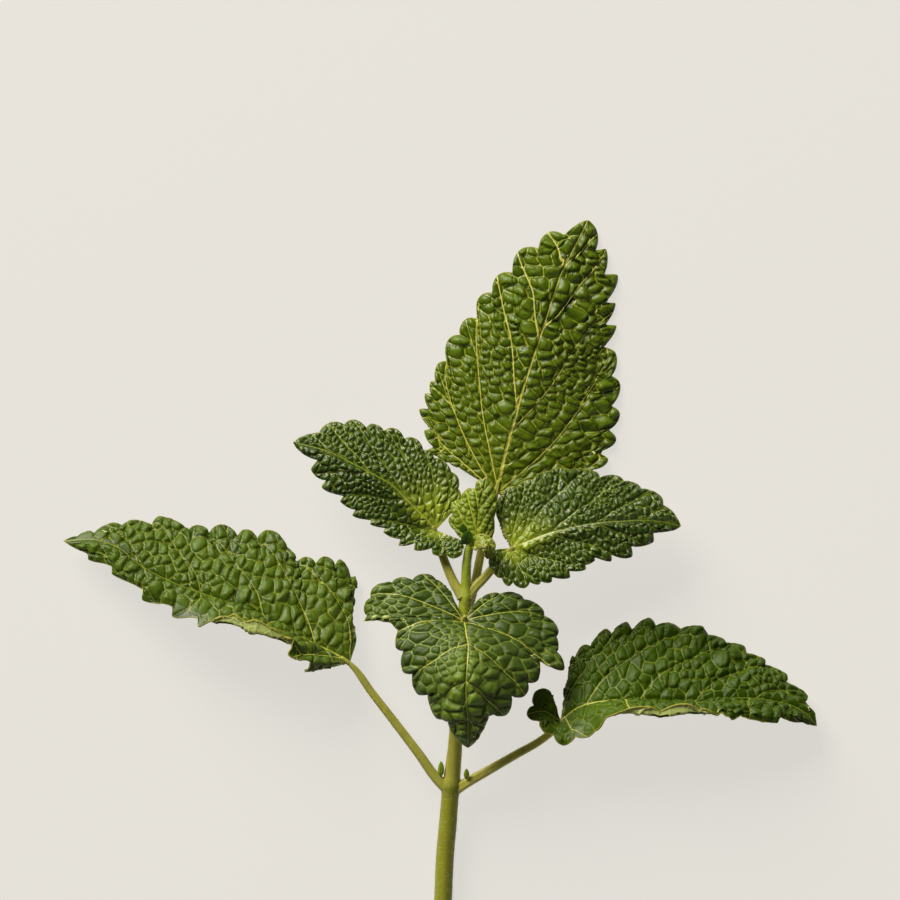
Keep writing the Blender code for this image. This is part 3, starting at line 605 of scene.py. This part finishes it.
def stalk_material(name, low, high, zones=()):
    """Green stalk with lengthwise streaks; zones tint it by its place along the sprig, and on the stem
    they carry painted light as well as its colour.
    """
    made = bpy.data.materials.new(name)
    made.use_nodes = True
    nodes, links = made.node_tree.nodes, made.node_tree.links
    shader = nodes["Principled BSDF"]
    coordinates = nodes.new("ShaderNodeTexCoord")
    stretch = nodes.new("ShaderNodeMapping")
    stretch.inputs["Scale"].default_value = (1.0, 0.25, 1.0)
    links.new(coordinates.outputs["Object"], stretch.inputs["Vector"])
    streaks = nodes.new("ShaderNodeTexNoise")
    streaks.inputs["Scale"].default_value = 900.0
    streaks.inputs["Detail"].default_value = 3.0
    links.new(stretch.outputs["Vector"], streaks.inputs["Vector"])
    mix = nodes.new("ShaderNodeMix")
    mix.data_type = "RGBA"
    mix.inputs["A"].default_value = (*low, 1.0)
    mix.inputs["B"].default_value = (*high, 1.0)
    links.new(streaks.outputs["Fac"], mix.inputs["Factor"])
    links.new(mix.outputs["Result"], shader.inputs["Base Color"])
    if zones:
        place = nodes.new("ShaderNodeSeparateXYZ")
        links.new(coordinates.outputs["Object"], place.inputs["Vector"])
        share = nodes.new("ShaderNodeMapRange")
        share.inputs["From Min"].default_value = zones[0][0] * MM
        share.inputs["From Max"].default_value = zones[-1][0] * MM
        links.new(place.outputs["Y"], share.inputs["Value"])
        tints = nodes.new("ShaderNodeValToRGB")
        while len(tints.color_ramp.elements) < len(zones):
            tints.color_ramp.elements.new(0.5)
        for element, (y, tint) in zip(tints.color_ramp.elements, zones):
            element.position = (y - zones[0][0]) / (zones[-1][0] - zones[0][0])
            element.color = (*tint, 1.0)
        links.new(share.outputs["Result"], tints.inputs["Fac"])
        tinted = nodes.new("ShaderNodeMix")
        tinted.data_type = "RGBA"
        tinted.blend_type = "MULTIPLY"
        tinted.inputs["Factor"].default_value = 1.0
        links.new(mix.outputs["Result"], tinted.inputs["A"])
        links.new(tints.outputs["Color"], tinted.inputs["B"])
        links.new(tinted.outputs["Result"], shader.inputs["Base Color"])
    bump = nodes.new("ShaderNodeBump")
    bump.inputs["Strength"].default_value = 0.4
    bump.inputs["Distance"].default_value = 0.0001
    links.new(streaks.outputs["Fac"], bump.inputs["Height"])
    links.new(bump.outputs["Normal"], shader.inputs["Normal"])
    shader.inputs["Roughness"].default_value = 0.5
    shader.inputs["Sheen Weight"].default_value = 0.04
    shader.inputs["Specular IOR Level"].default_value = 0.25
    return made


GROWN = dict(FRESH, Dome=(0.082, 0.130, 0.003), Net=(0.27, 0.31, 0.025))
UPPER = leaf_material("Grown leaf upper side", GROWN, 0.15, 1.0, 0.26)
UNDER = leaf_material("Leaf underside", PALE, 0.2, 1.0, 0.15)
STALK = stalk_material("Leaf stalk", (0.14, 0.16, 0.012), (0.42, 0.39, 0.07))
HAIR = bpy.data.materials.new("Hair")
HAIR.use_nodes = True
hair_shader = HAIR.node_tree.nodes["Principled BSDF"]
hair_shader.inputs["Base Color"].default_value = (0.75, 0.66, 0.42, 1.0)
hair_shader.inputs["Roughness"].default_value = 0.6


def length_of(centres):
    return float(np.linalg.norm(np.diff(centres, axis=0), axis=1).sum())


def join(piece, *others):
    """Makes the others part of the piece."""
    bpy.ops.object.select_all(action="DESELECT")
    for each in (piece, *others):
        each.select_set(True)
    bpy.context.view_layer.objects.active = piece
    bpy.ops.object.join()


def leaf_piece(name, leaf, across, rows, seed, upper):
    """The blade with its stalk, as one piece in the node's place."""
    piece = blade(name, leaf, across, rows, seed, (upper, UNDER))
    if "stalk" in leaf:
        share = np.linspace(0, 1, 60)
        centres = along(metres(leaf["stalk"]), share)
        radii = STALK_RADIUS * (1.0 - 0.3 * share + 0.4 * np.exp(-14 * share))
        radii *= 1.0 - 0.5 * np.clip(share * 6 - 5, 0, 1)
        stalk = tube(name + "_stalk", centres, radii, 24, channelled)
        # A leaf may bring its own stalk material; the lower right leaf's carries painted light.
        stalk.data.materials.append(leaf.get("stalk_finish", STALK))
        count = int(HAIRS_PER_METRE * length_of(centres))
        fuzz = hairs(name + "_hairs", centres[1:-10], radii[1:-10], channelled, count, 0.45 * MM, seed)
        join(piece, stalk, fuzz)
    piece.data.shade_smooth()
    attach(piece, "root")
    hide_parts(name)


leaf_piece("leaf_back", BACK_LEAF, 78, 290, 11, UPPER)

# The upper pair: two half-grown leaves, folded a little on the midrib and puckered most. Soft leaf
# tissue, still yellow-green where it left the bud. They grow from the top node on short stalks.
YOUNG = dict(FRESH, Base=(0.27, 0.34, 0.014))
HALF_GROWN = dict(YOUNG, Dome=(0.036, 0.068, 0.002), Net=(0.14, 0.19, 0.015), Vein=(0.38, 0.40, 0.07))
UPPER_YOUNG = leaf_material("Young leaf upper side", HALF_GROWN, 0.95, 0.35, 0.44)
UPPER_LEFT = dict(
    midrib=[(436, 530, 8.8), (426, 519, 9.4), (415, 508, 9.7), (404, 497, 9.9), (393, 486, 10.1),
            (375, 475, 10.2), (352, 463, 10.0), (330, 452, 9.6), (310, 446, 9.2), (293, 442, 8.8)],
    left=[(459, 539, 9.6, 0.2), (462, 550, 10.0, 0.3), (446, 554, 10.3, 0.38, 0.8),
          (432, 548, 10.4, 0.42, 0.85), (415, 543, 10.4, 0.48, 0.88), (401, 539, 10.3, 0.3, 0.88),
          (386, 528, 10.0, 0.32, 0.8), (372, 520, 9.8, 0.36, 0.86), (356, 510, 9.5, 0.36, 0.84),
          (344, 496, 9.3, 0.38, 0.84), (327, 480, 9.2, 0.5, 0.62), (318, 460, 9.0, 0.18, 0.4)],
    right=[(460, 504, 8.0, 0.15, 0.5), (458, 489, 7.6, 0.2, 0.5), (451, 472, 7.3, 0.15),
           (434, 458, 7.0, 0.22, 0.5), (423, 450, 6.9, 0.28, 0.5), (404, 439, 6.8, 0.3, 0.5),
           (384, 431, 6.9, 0.3), (366, 428, 7.0, 0.3, 0.5), (344, 425, 7.3, 0.24, 0.5),
           (319, 433, 7.8, 0.1, 0.5)],
    stalk=[(463, 597, 8.5), (455, 585, 8.3), (448, 570, 8.0), (442, 554, 7.7), (438, 540, 8.0),
           (433, 526, 8.9)],
    pulls=[("left", 0.50, 0.26, 0.4, 0.3, 0, 0, -1.0)],
    left_age=0.5, lift=0.4, teeth=0.34, pillow=0.35, dome=0.45, cell=0.85, crease=0.8, vein=0.55)
UPPER_RIGHT = dict(
    midrib=[(511, 548, 8.8), (526, 542, 9.4), (543, 535, 9.8), (573, 527, 10.2), (595, 523, 10.3),
            (624, 521, 10.1), (646, 520, 9.7), (664, 522, 9.2), (681, 526, 8.7)],
    left=[(505, 535, 8.4, 0.05), (500, 524, 8.0, 0.12, 0.5), (497, 509, 7.6, 0.15, 0.5),
          (503, 495, 7.3, 0.2, 0.5), (517, 487, 7.0, 0.15, 0.6), (533, 480, 6.9, 0.15, 0.5),
          (549, 472, 6.8, 0.12, 0.5), (569, 470, 6.8, 0.17, 0.8), (600, 478, 7.0, 0.2, 0.5),
          (624, 481, 7.2, 0.15, 0.7), (641, 489, 7.5, 0.22, 0.65), (663, 505, 8.0, 0.1, 0.5)],
    right=[(499, 549, 9.2, 0.15, 0.4), (490, 557, 9.6, 0.1), (493, 571, 9.9, 0.15),
           (502, 578, 10.1, 0.45, 0.7), (513, 582, 10.3, 0.35, 0.6), (530, 582, 10.4, 0.3, 0.7),
           (541, 581, 10.4, 0.4, 0.7), (552, 577, 10.4, 0.38, 0.82), (569, 571, 10.4, 0.25, 0.86),
           (585, 565, 10.3, 0.3, 0.8), (594, 557, 10.2, 0.45, 0.75), (611, 554, 10.0, 0.48, 0.7),
           (631, 546, 9.6, 0.34, 0.75), (653, 533, 9.2, 0.1)],
    stalk=[(467, 597, 8.5), (475, 587, 8.4), (485, 577, 8.2), (496, 564, 8.2), (504, 555, 8.4),
           (514, 547, 8.9)],
    pulls=[("right", 0.50, 0.26, 0.4, 0.3, 0, 0, -0.8)],
    left_age=0.2, right_age=0.4,
    lift=0.4, teeth=0.34, pillow=0.35, dome=0.45, cell=0.85, crease=0.8, vein=0.55)
leaf_piece("leaf_upper_left", UPPER_LEFT, 68, 235, 21, UPPER_YOUNG)
leaf_piece("leaf_upper_right", UPPER_RIGHT, 68, 235, 22, UPPER_YOUNG)

# The lower pair: two full-grown leaves on long stalks, lying on their upper edges, with the other
# edge rolled over so that its pale underside shows. They grow from the lowest node.
LOWER_LEFT = dict(
    midrib=[(350, 663, 6.3), (331, 652, 6.9), (308, 641, 7.4), (288, 629, 7.8), (262, 615, 8.0),
            (224, 601, 7.9), (200, 593, 7.6), (169, 581, 7.0), (138, 564, 6.2), (120, 549, 5.4),
            (95, 540, 4.6), (63, 541, 4.0)],
    left=[(333, 667, 8.0, 0.42), (309, 662, 12.6, 0.25, 0.8), (292, 648, 13.6, 0.1),
          (294, 640, 13.8, 0.05), (284, 636, 13.8, 0.1), (270, 627, 14.2, 0.15),
          (246, 621, 14.2, 0.2), (228, 616, 13.6, 0.15),
          (210, 621, 12.6, 0.55, 0.6), (197, 618, 11.6, 0.3, 0.83), (172, 607, 10.2, 0.25, 0.88),
          (143, 590, 8.2, 0.15, 0.9), (112, 567, 6.2, 0.17, 0.9), (88, 554, 4.7, 0.03)],
    right=[(355, 645, 3.8, 0.15), (351, 624, 2.2, 0.25, 0.9), (352, 598, 1.4, 0.35, 0.9),
           (350, 579, 1.1, 0.42, 0.9), (335, 566, 1.0, 0.42, 0.55), (316, 564, 1.2, 0.38, 0.5),
           (296, 563, 1.0, 0.2, 0.5), (284, 547, 0.8, 0.4, 0.6), (257, 539, 0.7, 0.42, 0.55),
           (237, 537, 0.6, 0.38, 0.53), (209, 533, 0.6, 0.34, 0.55), (188, 531, 0.6, 0.32, 0.75),
           (151, 527, 0.8, 0.22, 0.5), (122, 526, 1.3, 0.2, 0.5), (95, 533, 2.2, 0.05)],
    stalk=[(450, 791, 4.4), (438, 780, 4.5), (418, 753, 4.8), (396, 724, 5.2), (372, 693, 5.7),
           (351, 665, 6.2), (341, 657, 6.5)],
    pulls=[("left", 0.50, 0.15, 0.7, 0.25, 0, 12, 1.2)], left_rolled=0.85,
    right_veins=((0.09, 0.20), (0.16, 0.36), (0.34, 0.50), (0.50, 0.63), (0.66, 0.76), (0.82, 0.88)),
    fan=0.2, fan_power=1.2, left_lag=0.62, left_flare=0.25, right_flare=0.3, left_sharp=2.4,
    lift=0.5, teeth=0.32, pillow=0.4, dome=0.6, cell=1.5, tilt=0.24, crease=0.8, vein=0.7)
LOWER_RIGHT = dict(
    midrib=[(561, 722, 6.4), (568, 715, 6.8), (583, 706, 7.2), (610, 701, 7.7), (640, 700, 8.0),
            (672, 701, 8.0), (704, 700, 7.8), (740, 698, 7.2), (768, 700, 6.4), (790, 705, 5.6),
            (805, 713, 5.0), (817, 726, 4.2)],
    left=[(564, 706, 4.2, 0.12, 0.9), (568, 680, 2.8, 0.2, 0.9), (576, 658, 2.0, 0.28),
          (591, 646, 1.6, 0.32, 0.75), (612, 634, 1.4, 0.44, 0.72), (632, 630, 0.9, 0.36, 0.7),
          (656, 626, 0.7, 0.17, 0.5), (681, 629, 0.6, 0.24), (708, 635, 0.6, 0.14, 0.7),
          (726, 643, 0.6, 0.24, 0.75), (746, 653, 0.7, 0.2, 0.8), (765, 665, 0.9, 0.25, 0.8),
          (785, 682, 1.4, 0.28, 0.8), (804, 702, 2.6, 0.12, 0.5)],
    right=[(556, 712, 6.9, 0.05), (552, 697, 8.4, 0.5, 0.5), (535, 706, 10.0, 0.6, 0.6),
           (540, 721, 10.6, 0.2, 0.5), (554, 734, 10.4, 0.45, 0.5), (575, 736, 10.8, 0.15, 0.5),
           (594, 731, 12.0, 0.1), (606, 717, 13.4, 0.1), (622, 711, 13.8, 0.15, 0.7),
           (660, 712, 13.8, 0.2, 0.6), (698, 710, 13.2, 0.2, 0.5), (722, 713, 12.0, 0.25, 0.5),
           (740, 716, 10.8, 0.16, 0.9), (780, 717, 8.0, 0.1, 0.5), (803, 722, 5.4, 0.05)],
    stalk=[(452, 791, 4.4), (464, 784, 4.5), (487, 771, 4.9), (515, 755, 5.4), (541, 740, 5.9),
           (556, 728, 6.1), (566, 717, 6.6)],
    pulls=[("right", 0.58, 0.16, 0.7, 0.25, 0, 8, 1.2)],
    right_rolled=0.85, right_age=-0.3, left_age=0.5,
    left_veins=((0.05, 0.19), (0.14, 0.40), (0.33, 0.53), (0.50, 0.66), (0.66, 0.79), (0.82, 0.90)),
    fan=0.2, fan_power=1.2, right_lag=0.15, right_flare=0.25, left_flare=0.3, left_sharp=1.3,
    lift=0.5, teeth=0.34, pillow=0.4, dome=0.5, cell=1.55, tilt=0.22, crease=0.8, vein=0.7)
OLD = dict(FRESH, Net=(0.15, 0.19, 0.010), Vein=(0.40, 0.42, 0.06))
LEFT_GREENS = dict(OLD, Dome=(0.066, 0.112, 0.002))
# The lighter base colour here, with its long reach, is painted light that lifts the front leaf's shadow
# from the small lobes at the blade's foot.
RIGHT_GREENS_AND_LIGHT = dict(OLD, Dome=(0.036, 0.070, 0.001), Net=(0.11, 0.15, 0.006), Base=(0.060, 0.108, 0.002))
OLDER = leaf_material("Lower left leaf upper side", LEFT_GREENS, 0.1, 0.12, 0.27, 0.4)
OLDEST = leaf_material("Lower right leaf upper side", RIGHT_GREENS_AND_LIGHT, 0.55, 0.15, 0.15, 0.38, 0.3)
# A paler stalk for the lower right leaf: painted light that lifts the front leaf's shadow across it.
PAINTED_LIGHT_STALK = stalk_material("Lower right leaf stalk with painted light", (0.32, 0.32, 0.03), (0.80, 0.72, 0.16))
LOWER_RIGHT["stalk_finish"] = PAINTED_LIGHT_STALK
leaf_piece("leaf_lower_left", LOWER_LEFT, 72, 270, 31, OLDER)
leaf_piece("leaf_lower_right", LOWER_RIGHT, 72, 270, 32, OLDEST)

# The front leaf of the middle pair. Leaf tissue, arching up towards the viewer with its two base
# lobes falling back and its tip hanging down. It grows from the middle node in front of the stem.
FRONT_LEAF = dict(
    midrib=[(464, 621, 11.2), (466, 634, 14.6), (468, 647, 17.2), (467, 667, 19.2),
            (466, 682, 19.6), (466, 700, 19.2), (468, 723, 17.4), (468, 748, 14.0)],
    left=[(470, 611, 10.2, 0.1), (482, 598, 9.0, 0.1), (500, 594, 8.3, 0.15), (524, 600, 8.2, 0.16),
          (544, 616, 8.4, 0.2), (556, 637, 9.2, 0.1), (556, 652, 10.2, 0.9, 0.45),
          (539, 658, 12.6, 0.3, 0.7), (527, 682, 14.6, 0.42, 0.5), (511, 695, 15.6, 0.5, 0.62),
          (489, 712, 15.8, 0.14, 0.5)],
    right=[(456, 604, 9.6, 0.1), (446, 588, 8.4, 0.12), (435, 580, 8.0, 0.24, 0.5),
           (412, 581, 8.0, 0.25, 0.5), (391, 585, 8.2, 0.25, 0.45), (371, 598, 8.8, 0.2, 0.5),
           (368, 616, 9.8, 0.36, 0.35),
           (390, 621, 11.6, 0.1), (398, 630, 12.6, 0.3, 0.7), (404, 651, 14.2, 0.34, 0.72),
           (413, 673, 15.4, 0.34, 0.72), (428, 694, 16.0, 0.28, 0.75), (448, 719, 15.8, 0.14, 0.5)],
    stalk=[(462, 644, 8.0), (463, 637, 9.6), (464, 630, 10.2), (464, 622, 10.9), (465, 616, 12.0)],
    left_flare=0.3, right_flare=0.3, left_age=-0.5, right_age=-0.45, coarser=0.15, vein=0.7,
    lift=1.2, teeth=0.32, pillow=0.4, dome=0.42, cell=1.5)
# Paler domes than on the other leaves are a painted sheen; the dark base colour, spread out by the
# negative ages, makes the blade darker towards its base and lobes.
SUNLIT = dict(FRESH, Dome=(0.125, 0.195, 0.014), Net=(0.15, 0.20, 0.02), Base=(0.022, 0.045, 0.002))
GLOSSY = leaf_material("Front leaf upper side", SUNLIT, 0.9, 0.8, 0.3, 0.42, 0.8)
leaf_piece("leaf_front", FRONT_LEAF, 62, 220, 41, GLOSSY)

# The shoot tip: four small leaves still opening, one upright behind, one curled in front and two
# leaflets between them. Thin yellow-green tissue, growing from the end of the stem.
OPENING = dict(YOUNG, Dome=(0.120, 0.180, 0.006), Hollow_shade_and_glands=(0.045, 0.09, 0.002), Net=(0.28, 0.32, 0.03))
TIP = leaf_material("Shoot tip leaf", OPENING, 1.0, 0.5, 0.24)
CURLED = leaf_material("Curled tip leaf", dict(YOUNG, Dome=(0.16, 0.22, 0.02)), 0.7, 0.8, 0.3)
DARK = {label: (0.036, 0.085, 0.006) for label in FRESH}
DARK["Hollow_shade_and_glands"] = (0.012, 0.04, 0.002)
DARK["Vein"] = (0.07, 0.12, 0.015)
FOLDED = leaf_material("Folded leaflet", DARK, 0.0, 0.2, 0.3)
TIP_BACK = dict(
    midrib=[(478, 549, 10.4), (477, 535, 10.7), (477, 520, 10.7), (479, 505, 10.5),
            (483, 490, 10.3), (487, 477, 10.0)],
    left=[(467, 543, 10.2, 0.1), (456, 531, 9.9), (453, 515, 9.8), (461, 500, 9.8),
          (475, 489, 10.0, 0.3), (482, 480, 10.0, 0.1)],
    right=[(487, 547, 10.2, 0.05), (493, 535, 10.1, 0.05), (494, 518, 10.0, 0.1),
           (496, 500, 10.0, 0.1), (494, 488, 10.0, 0.1)],
    lift=0.4, teeth=0.3, pillow=0.2, dome=0.22, cell=0.8, thickness=0.6)
TIP_FRONT = dict(
    midrib=[(472, 549, 11.4), (475, 542, 12.4), (481, 538, 13.4), (487, 541, 14.2),
            (489, 548, 14.2), (486, 558, 13.6)],
    left=[(467, 544, 11.2, 0.05), (473, 537, 11.8, 0.05), (482, 534, 12.6, 0.05),
          (491, 538, 13.0, 0.1), (495, 549, 13.0, 0.2), (490, 558, 13.0, 0.2)],
    right=[(476, 551, 13.0, 0.0), (478, 547, 14.2, 0.0), (482, 545, 15.0, 0.0),
           (485, 547, 15.2, 0.0), (485, 552, 14.8, 0.1)],
    lift=0.2, teeth=0.2, pillow=0.08, dome=0.12, cell=0.6, thickness=0.6)
LEAFLET_LARGE = dict(
    midrib=[(467, 545, 11.6), (467, 540, 12.2), (468, 535, 12.7), (469, 530, 13.0)],
    left=[(460, 544, 12.0, 0.0), (461, 539, 12.3, 0.0), (464, 533, 12.7, 0.0)],
    right=[(472, 543, 12.6, 0.0), (473, 539, 12.8, 0.0), (472, 534, 12.9, 0.0)],
    lift=0.2, teeth=0.0, pillow=0.05, dome=0.08, cell=0.4, thickness=0.6)
LEAFLET_SMALL = dict(
    midrib=[(464, 533, 11.4), (463, 529, 11.6), (463, 523, 11.8)],
    left=[(460, 532, 11.4, 0.0), (459, 528, 11.5, 0.0)],
    right=[(468, 532, 11.5, 0.0), (467, 528, 11.6, 0.0)],
    lift=0.1, teeth=0.0, pillow=0.04, dome=0.06, cell=0.35, thickness=0.6)
leaf_piece("tip_leaf_back", TIP_BACK, 34, 110, 51, TIP)
leaf_piece("tip_leaf_front", TIP_FRONT, 24, 80, 52, CURLED)
leaf_piece("tip_leaflet_large", LEAFLET_LARGE, 14, 40, 53, FOLDED)
leaf_piece("tip_leaflet_small", LEAFLET_SMALL, 12, 30, 54, FOLDED)

# The stem: green and four-sided, with rounded corners, soft hairs and a swelling at every pair of
# leaves. It is cut straight across at the foot, where the paler inside shows. The last number of a
# point is the radius in pixels, and the zones tint the stem at heights up the sprig in mm: partly its
# own colour, partly painted light that lifts the shade cast on it by the leaves over it, and darker
# at the lowest node.
STEM = [(441, 938, 1.65, 9.1), (443, 900, 2.3, 9.0), (445, 856, 3.0, 9.0), (448, 822, 3.6, 8.9),
        (450, 797, 4.2, 8.6), (451, 787, 4.4, 9.4), (452, 777, 4.6, 8.4), (455, 747, 5.3, 7.1),
        (458, 700, 6.3, 6.7), (461, 652, 7.4, 6.6), (462, 640, 7.6, 7.2), (463, 628, 7.9, 6.4),
        (465, 606, 8.3, 6.4), (466, 597, 8.5, 7.0), (466, 588, 8.6, 5.2), (467, 561, 9.0, 4.4),
        (469, 549, 9.2, 4.3), (470, 543, 9.3, 3.4)]
stem_share = np.linspace(0, 1, 300)
stem_marks = metres(STEM)
stem_radii = np.interp(stem_share, knots(stem_marks), [mark[3] * PIXEL for mark in STEM])
STEM_AROUND = 40


def four_sided(turn, _):
    return 0.96 + 0.055 * np.abs(np.cos(2 * turn)) ** 3 - 0.02 * np.cos(4 * turn)


stem = tube("stem", along(stem_marks, stem_share), stem_radii, STEM_AROUND, four_sided)
STEM_TINTS_AND_LIGHT = ((-65.0, (0.62, 0.66, 0.25)), (-39.0, (0.60, 0.62, 0.25)), (-37.5, (0.42, 0.50, 0.2)),
         (-35.5, (0.95, 0.9, 0.75)), (-14.0, (1.0, 0.95, 0.9)), (-10.0, (0.8, 0.85, 0.45)),
         (-3.0, (0.66, 0.82, 0.26)), (7.0, (0.62, 0.8, 0.28)))
stem.data.materials.append(stalk_material("Stem", (0.26, 0.27, 0.035), (0.42, 0.41, 0.07), STEM_TINTS_AND_LIGHT))
stem.data.materials.append(stalk_material("Cut face", (0.36, 0.42, 0.16), (0.62, 0.66, 0.36)))
fuzz = hairs("stem_hairs", along(stem_marks, stem_share), stem_radii, four_sided, 2400, 0.5 * MM, 61)
join(stem, fuzz)
stem.data.shade_smooth()
for face in stem.data.polygons:
    if len(face.vertices) == STEM_AROUND and face.center.y < stem_marks[0, 1] + MM:
        face.material_index = 1
        face.use_smooth = False
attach(stem, "root")
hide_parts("stem")

# The two buds in the axils of the lower leaves: each a pair of tiny leaves folded face to face, so
# that it is pointed, with a seam between them. They sit in the corner of stem and stalk.
BUD = leaf_material("Bud", dict(FRESH, Dome=(0.22, 0.30, 0.02), Hollow_shade_and_glands=(0.08, 0.13, 0.006)), 0.0, 0.2, 0.2)


def bud(name, base, tip, width):
    """A pointed bud from base to tip, as wide as given in pixels, seamed along its length."""
    bpy.ops.object.select_all(action="DESELECT")
    bpy.ops.mesh.primitive_uv_sphere_add(segments=48, ring_count=32, radius=1.0)
    piece = bpy.context.object
    piece.name = name
    low, high = metres([base, tip])
    axis = high - low
    side = unit(np.cross(axis, (0.0, 0.0, 1.0)))
    up = np.cross(side, unit(axis))
    ball = places_of(piece.data)
    share = (ball[:, 2] + 1) / 2
    turn = np.arctan2(ball[:, 1], ball[:, 0])
    wide = width * PIXEL * np.sqrt(np.clip(share, 0, 1)) * (1 - share) ** 0.7 * 1.35
    wide *= 1 - 0.22 * np.exp(-(np.cos(turn) / 0.16) ** 2) + 0.03 * np.cos(9 * turn + 8 * share)
    spots = low + share[:, None] * axis + wide[:, None] * (np.cos(turn)[:, None] * side
                                                           + 0.8 * np.sin(turn)[:, None] * up)
    piece.data.vertices.foreach_set("co", spots.ravel())
    piece.data.materials.append(BUD)
    piece.data.shade_smooth()
    keep = {"veins": (9.0, 1.0, 1.0), "form": (0.8, 1.0, 1.0)}
    for label, value in keep.items():
        filled = np.tile(value, len(piece.data.vertices))
        piece.data.attributes.new(label, "FLOAT_VECTOR", "POINT").data.foreach_set("vector", filled)
    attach(piece, "root")
    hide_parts(name)


bud("bud_left", (441, 776, 5.2), (441, 761, 6.0), 5.2)
bud("bud_right", (466.5, 779, 5.6), (466.5, 768.5, 6.3), 4.6)

# The pale, plain surface the sprig lies on: a matt sheet that also glows a little, as on a light
# table, so that the shadows on it stay faint.
bpy.ops.object.select_all(action="DESELECT")
bpy.ops.mesh.primitive_plane_add(size=4.0)
floor = bpy.context.object
floor.name = "floor"
paper = bpy.data.materials.new("Pale paper")
paper.use_nodes = True
paper_shader = paper.node_tree.nodes["Principled BSDF"]
paper_shader.inputs["Base Color"].default_value = (0.10, 0.096, 0.09, 1.0)
paper_shader.inputs["Roughness"].default_value = 0.9
paper_shader.inputs["Emission Color"].default_value = (1.0, 0.97, 0.91, 1.0)
paper_shader.inputs["Emission Strength"].default_value = 0.67
floor.data.materials.append(paper)

# Studio light: one large, soft and slightly warm key from the upper left, a weak fill across from it,
# and a dim room.
LIGHTS = (("key", (-0.85, 1.45, 0.95), 78.0, (1.0, 0.955, 0.83)),
          ("fill", (0.60, -1.10, 1.00), 2.0, (1.0, 1.0, 1.0)))
for label, place, energy, colour in LIGHTS:
    bpy.ops.object.light_add(type="AREA", location=place)
    lamp = bpy.context.object
    lamp.name = label
    lamp.data.size = 1.2
    lamp.data.energy = energy
    lamp.data.color = colour
    lamp.rotation_euler = (-lamp.location).to_track_quat("-Z", "Y").to_euler()
room = bpy.data.worlds.new("Room")
bpy.context.scene.world = room
room.use_nodes = True
room.node_tree.nodes["Background"].inputs["Color"].default_value = (1.0, 0.985, 0.96, 1.0)
room.node_tree.nodes["Background"].inputs["Strength"].default_value = 0.045

# The camera looks straight down, framed as the photograph is.
eye = ((VIEW[0] - ORIGIN[0]) * PIXEL, (ORIGIN[1] - VIEW[1]) * PIXEL, VIEW_HEIGHT)
bpy.ops.object.camera_add(location=eye, rotation=(0, 0, 0))
camera = bpy.context.object
camera.data.angle = 2 * math.atan(VIEW[0] * PIXEL / VIEW_HEIGHT)
camera.data.clip_start = 0.01
bpy.context.scene.camera = camera
bpy.context.scene.view_settings.view_transform = "Standard"
